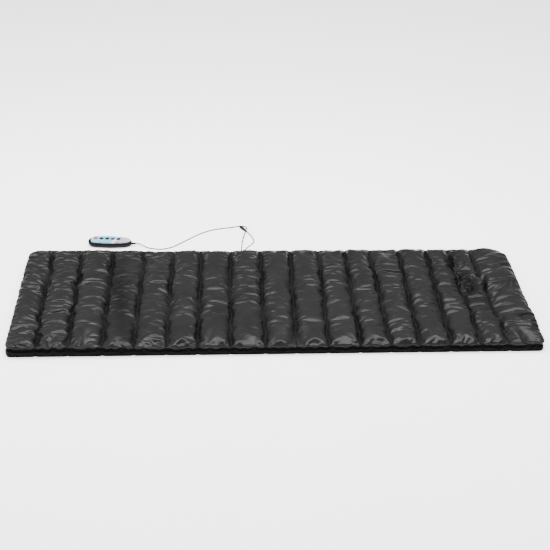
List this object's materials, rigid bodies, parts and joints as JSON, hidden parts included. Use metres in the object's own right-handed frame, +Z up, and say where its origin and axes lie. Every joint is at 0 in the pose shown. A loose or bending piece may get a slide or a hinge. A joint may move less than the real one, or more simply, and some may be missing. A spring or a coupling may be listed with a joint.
{
  "type": "heated massage mat",
  "caption": "Long quilted black mat with padded channels that folds in three, with heat and vibration inside, a corded handset and a power socket on a short lead.",
  "frame": {"origin": "middle of the mat's underside, on the surface it lies on", "axes": "+X along the mat towards its head end, +Y across it towards the cable outlet, +Z up"},
  "size_m": [1.7, 0.8067, 0.0454],
  "materials": {
    "cover": "satin woven polyester, black",
    "lining": "matt woven lining, black",
    "filling": "fibre wadding, white",
    "foam": "foam sheet, grey",
    "pod_plastic": "moulded, dark grey",
    "motor_steel": "plated can",
    "rotor_brass": "turned and sintered",
    "heater_film": "carbon print between films",
    "loom_tape": "taped flat cable",
    "handset_black": "glossy black",
    "handset_silver": "silver, satin gloss",
    "face_print": "printed film, pale blue, white and lavender",
    "keypad_silicone": "translucent grey",
    "board": "green solder mask",
    "screw_steel": "zinc plated",
    "cord_rubber": "matt dark grey",
    "power_cap": "translucent pink red",
    "mode_cap": "translucent blue",
    "zone_cap": "translucent green",
    "strength_cap": "translucent lavender",
    "heat_cap": "translucent purple"
  },
  "bodies": {
    "foot": {"top_cover_foot": "cover", "wadding_foot": "filling", "foam_sheet_foot": "foam", "bottom_cover_foot": "lining", "loom_foot": "loom_tape", "pod_foot_front_base": "pod_plastic", "pod_foot_front_cap": "pod_plastic", "pod_foot_front_motor": "motor_steel", "pod_foot_back_base": "pod_plastic", "pod_foot_back_cap": "pod_plastic", "pod_foot_back_motor": "motor_steel"},
    "waist": {"top_cover_waist": "cover", "wadding_waist": "filling", "foam_sheet_waist": "foam", "bottom_cover_waist": "lining", "loom_waist": "loom_tape", "pod_waist_front_base": "pod_plastic", "pod_waist_front_cap": "pod_plastic", "pod_waist_front_motor": "motor_steel", "pod_waist_back_base": "pod_plastic", "pod_waist_back_cap": "pod_plastic", "pod_waist_back_motor": "motor_steel", "heater_panel": "heater_film", "thermal_cutout": "pod_plastic", "cable_outlet": "cord_rubber", "handset_cord": "cord_rubber", "power_lead": "cord_rubber", "socket_body": "cord_rubber", "socket_sleeve": "motor_steel", "socket_pin": "motor_steel", "handset_base": "handset_black", "handset_top": "handset_silver", "face_panel": "face_print", "keypad": "keypad_silicone", "circuit_board": "board", "handset_screw_1": "screw_steel", "handset_screw_2": "screw_steel", "handset_strain_relief": "cord_rubber"},
    "head": {"top_cover_head": "cover", "wadding_head": "filling", "foam_sheet_head": "foam", "bottom_cover_head": "lining", "loom_head": "loom_tape", "pod_head_front_base": "pod_plastic", "pod_head_front_cap": "pod_plastic", "pod_head_front_motor": "motor_steel", "pod_head_back_base": "pod_plastic", "pod_head_back_cap": "pod_plastic", "pod_head_back_motor": "motor_steel"},
    "rotor_foot_front": {"pod_foot_front_rotor": "rotor_brass"},
    "rotor_foot_back": {"pod_foot_back_rotor": "rotor_brass"},
    "rotor_waist_front": {"pod_waist_front_rotor": "rotor_brass"},
    "rotor_waist_back": {"pod_waist_back_rotor": "rotor_brass"},
    "rotor_head_front": {"pod_head_front_rotor": "rotor_brass"},
    "rotor_head_back": {"pod_head_back_rotor": "rotor_brass"},
    "button_power": {"button_power": "power_cap"},
    "button_mode": {"button_mode": "mode_cap"},
    "button_zone": {"button_zone": "zone_cap"},
    "button_strength": {"button_strength": "strength_cap"},
    "button_heat": {"button_heat": "heat_cap"}
  },
  "joints": [
    {"name": "foot_fold", "type": "hinge", "parent": "waist", "child": "foot", "pos_m": [-0.25, 0, 0.014], "axis": [0, 1, 0], "range_deg": [0, 90]},
    {"name": "head_fold", "type": "hinge", "parent": "waist", "child": "head", "pos_m": [0.25, 0, 0.014], "axis": [0, -1, 0], "range_deg": [0, 90]},
    {"name": "rotor_foot_front_spin", "type": "hinge", "parent": "foot", "child": "rotor_foot_front", "pos_m": [-0.592, -0.13, 0.0196], "axis": [1, 0, 0], "continuous": true},
    {"name": "rotor_foot_back_spin", "type": "hinge", "parent": "foot", "child": "rotor_foot_back", "pos_m": [-0.592, 0.13, 0.0196], "axis": [1, 0, 0], "continuous": true},
    {"name": "rotor_waist_front_spin", "type": "hinge", "parent": "waist", "child": "rotor_waist_front", "pos_m": [0.008, -0.13, 0.0196], "axis": [1, 0, 0], "continuous": true},
    {"name": "rotor_waist_back_spin", "type": "hinge", "parent": "waist", "child": "rotor_waist_back", "pos_m": [0.008, 0.13, 0.0196], "axis": [1, 0, 0], "continuous": true},
    {"name": "rotor_head_front_spin", "type": "hinge", "parent": "head", "child": "rotor_head_front", "pos_m": [0.608, -0.13, 0.0196], "axis": [1, 0, 0], "continuous": true},
    {"name": "rotor_head_back_spin", "type": "hinge", "parent": "head", "child": "rotor_head_back", "pos_m": [0.608, 0.13, 0.0196], "axis": [1, 0, 0], "continuous": true},
    {"name": "button_power_press", "type": "slide", "parent": "waist", "child": "button_power", "axis": [0, 0, -1], "range_m": [0, 0.0008], "stiffness_N_per_m": 300, "springref_m": -0.002},
    {"name": "button_mode_press", "type": "slide", "parent": "waist", "child": "button_mode", "axis": [0, 0, -1], "range_m": [0, 0.0008], "stiffness_N_per_m": 300, "springref_m": -0.002},
    {"name": "button_zone_press", "type": "slide", "parent": "waist", "child": "button_zone", "axis": [0, 0, -1], "range_m": [0, 0.0008], "stiffness_N_per_m": 300, "springref_m": -0.002},
    {"name": "button_strength_press", "type": "slide", "parent": "waist", "child": "button_strength", "axis": [0, 0, -1], "range_m": [0, 0.0008], "stiffness_N_per_m": 300, "springref_m": -0.002},
    {"name": "button_heat_press", "type": "slide", "parent": "waist", "child": "button_heat", "axis": [0, 0, -1], "range_m": [0, 0.0008], "stiffness_N_per_m": 300, "springref_m": -0.002}
  ]
}
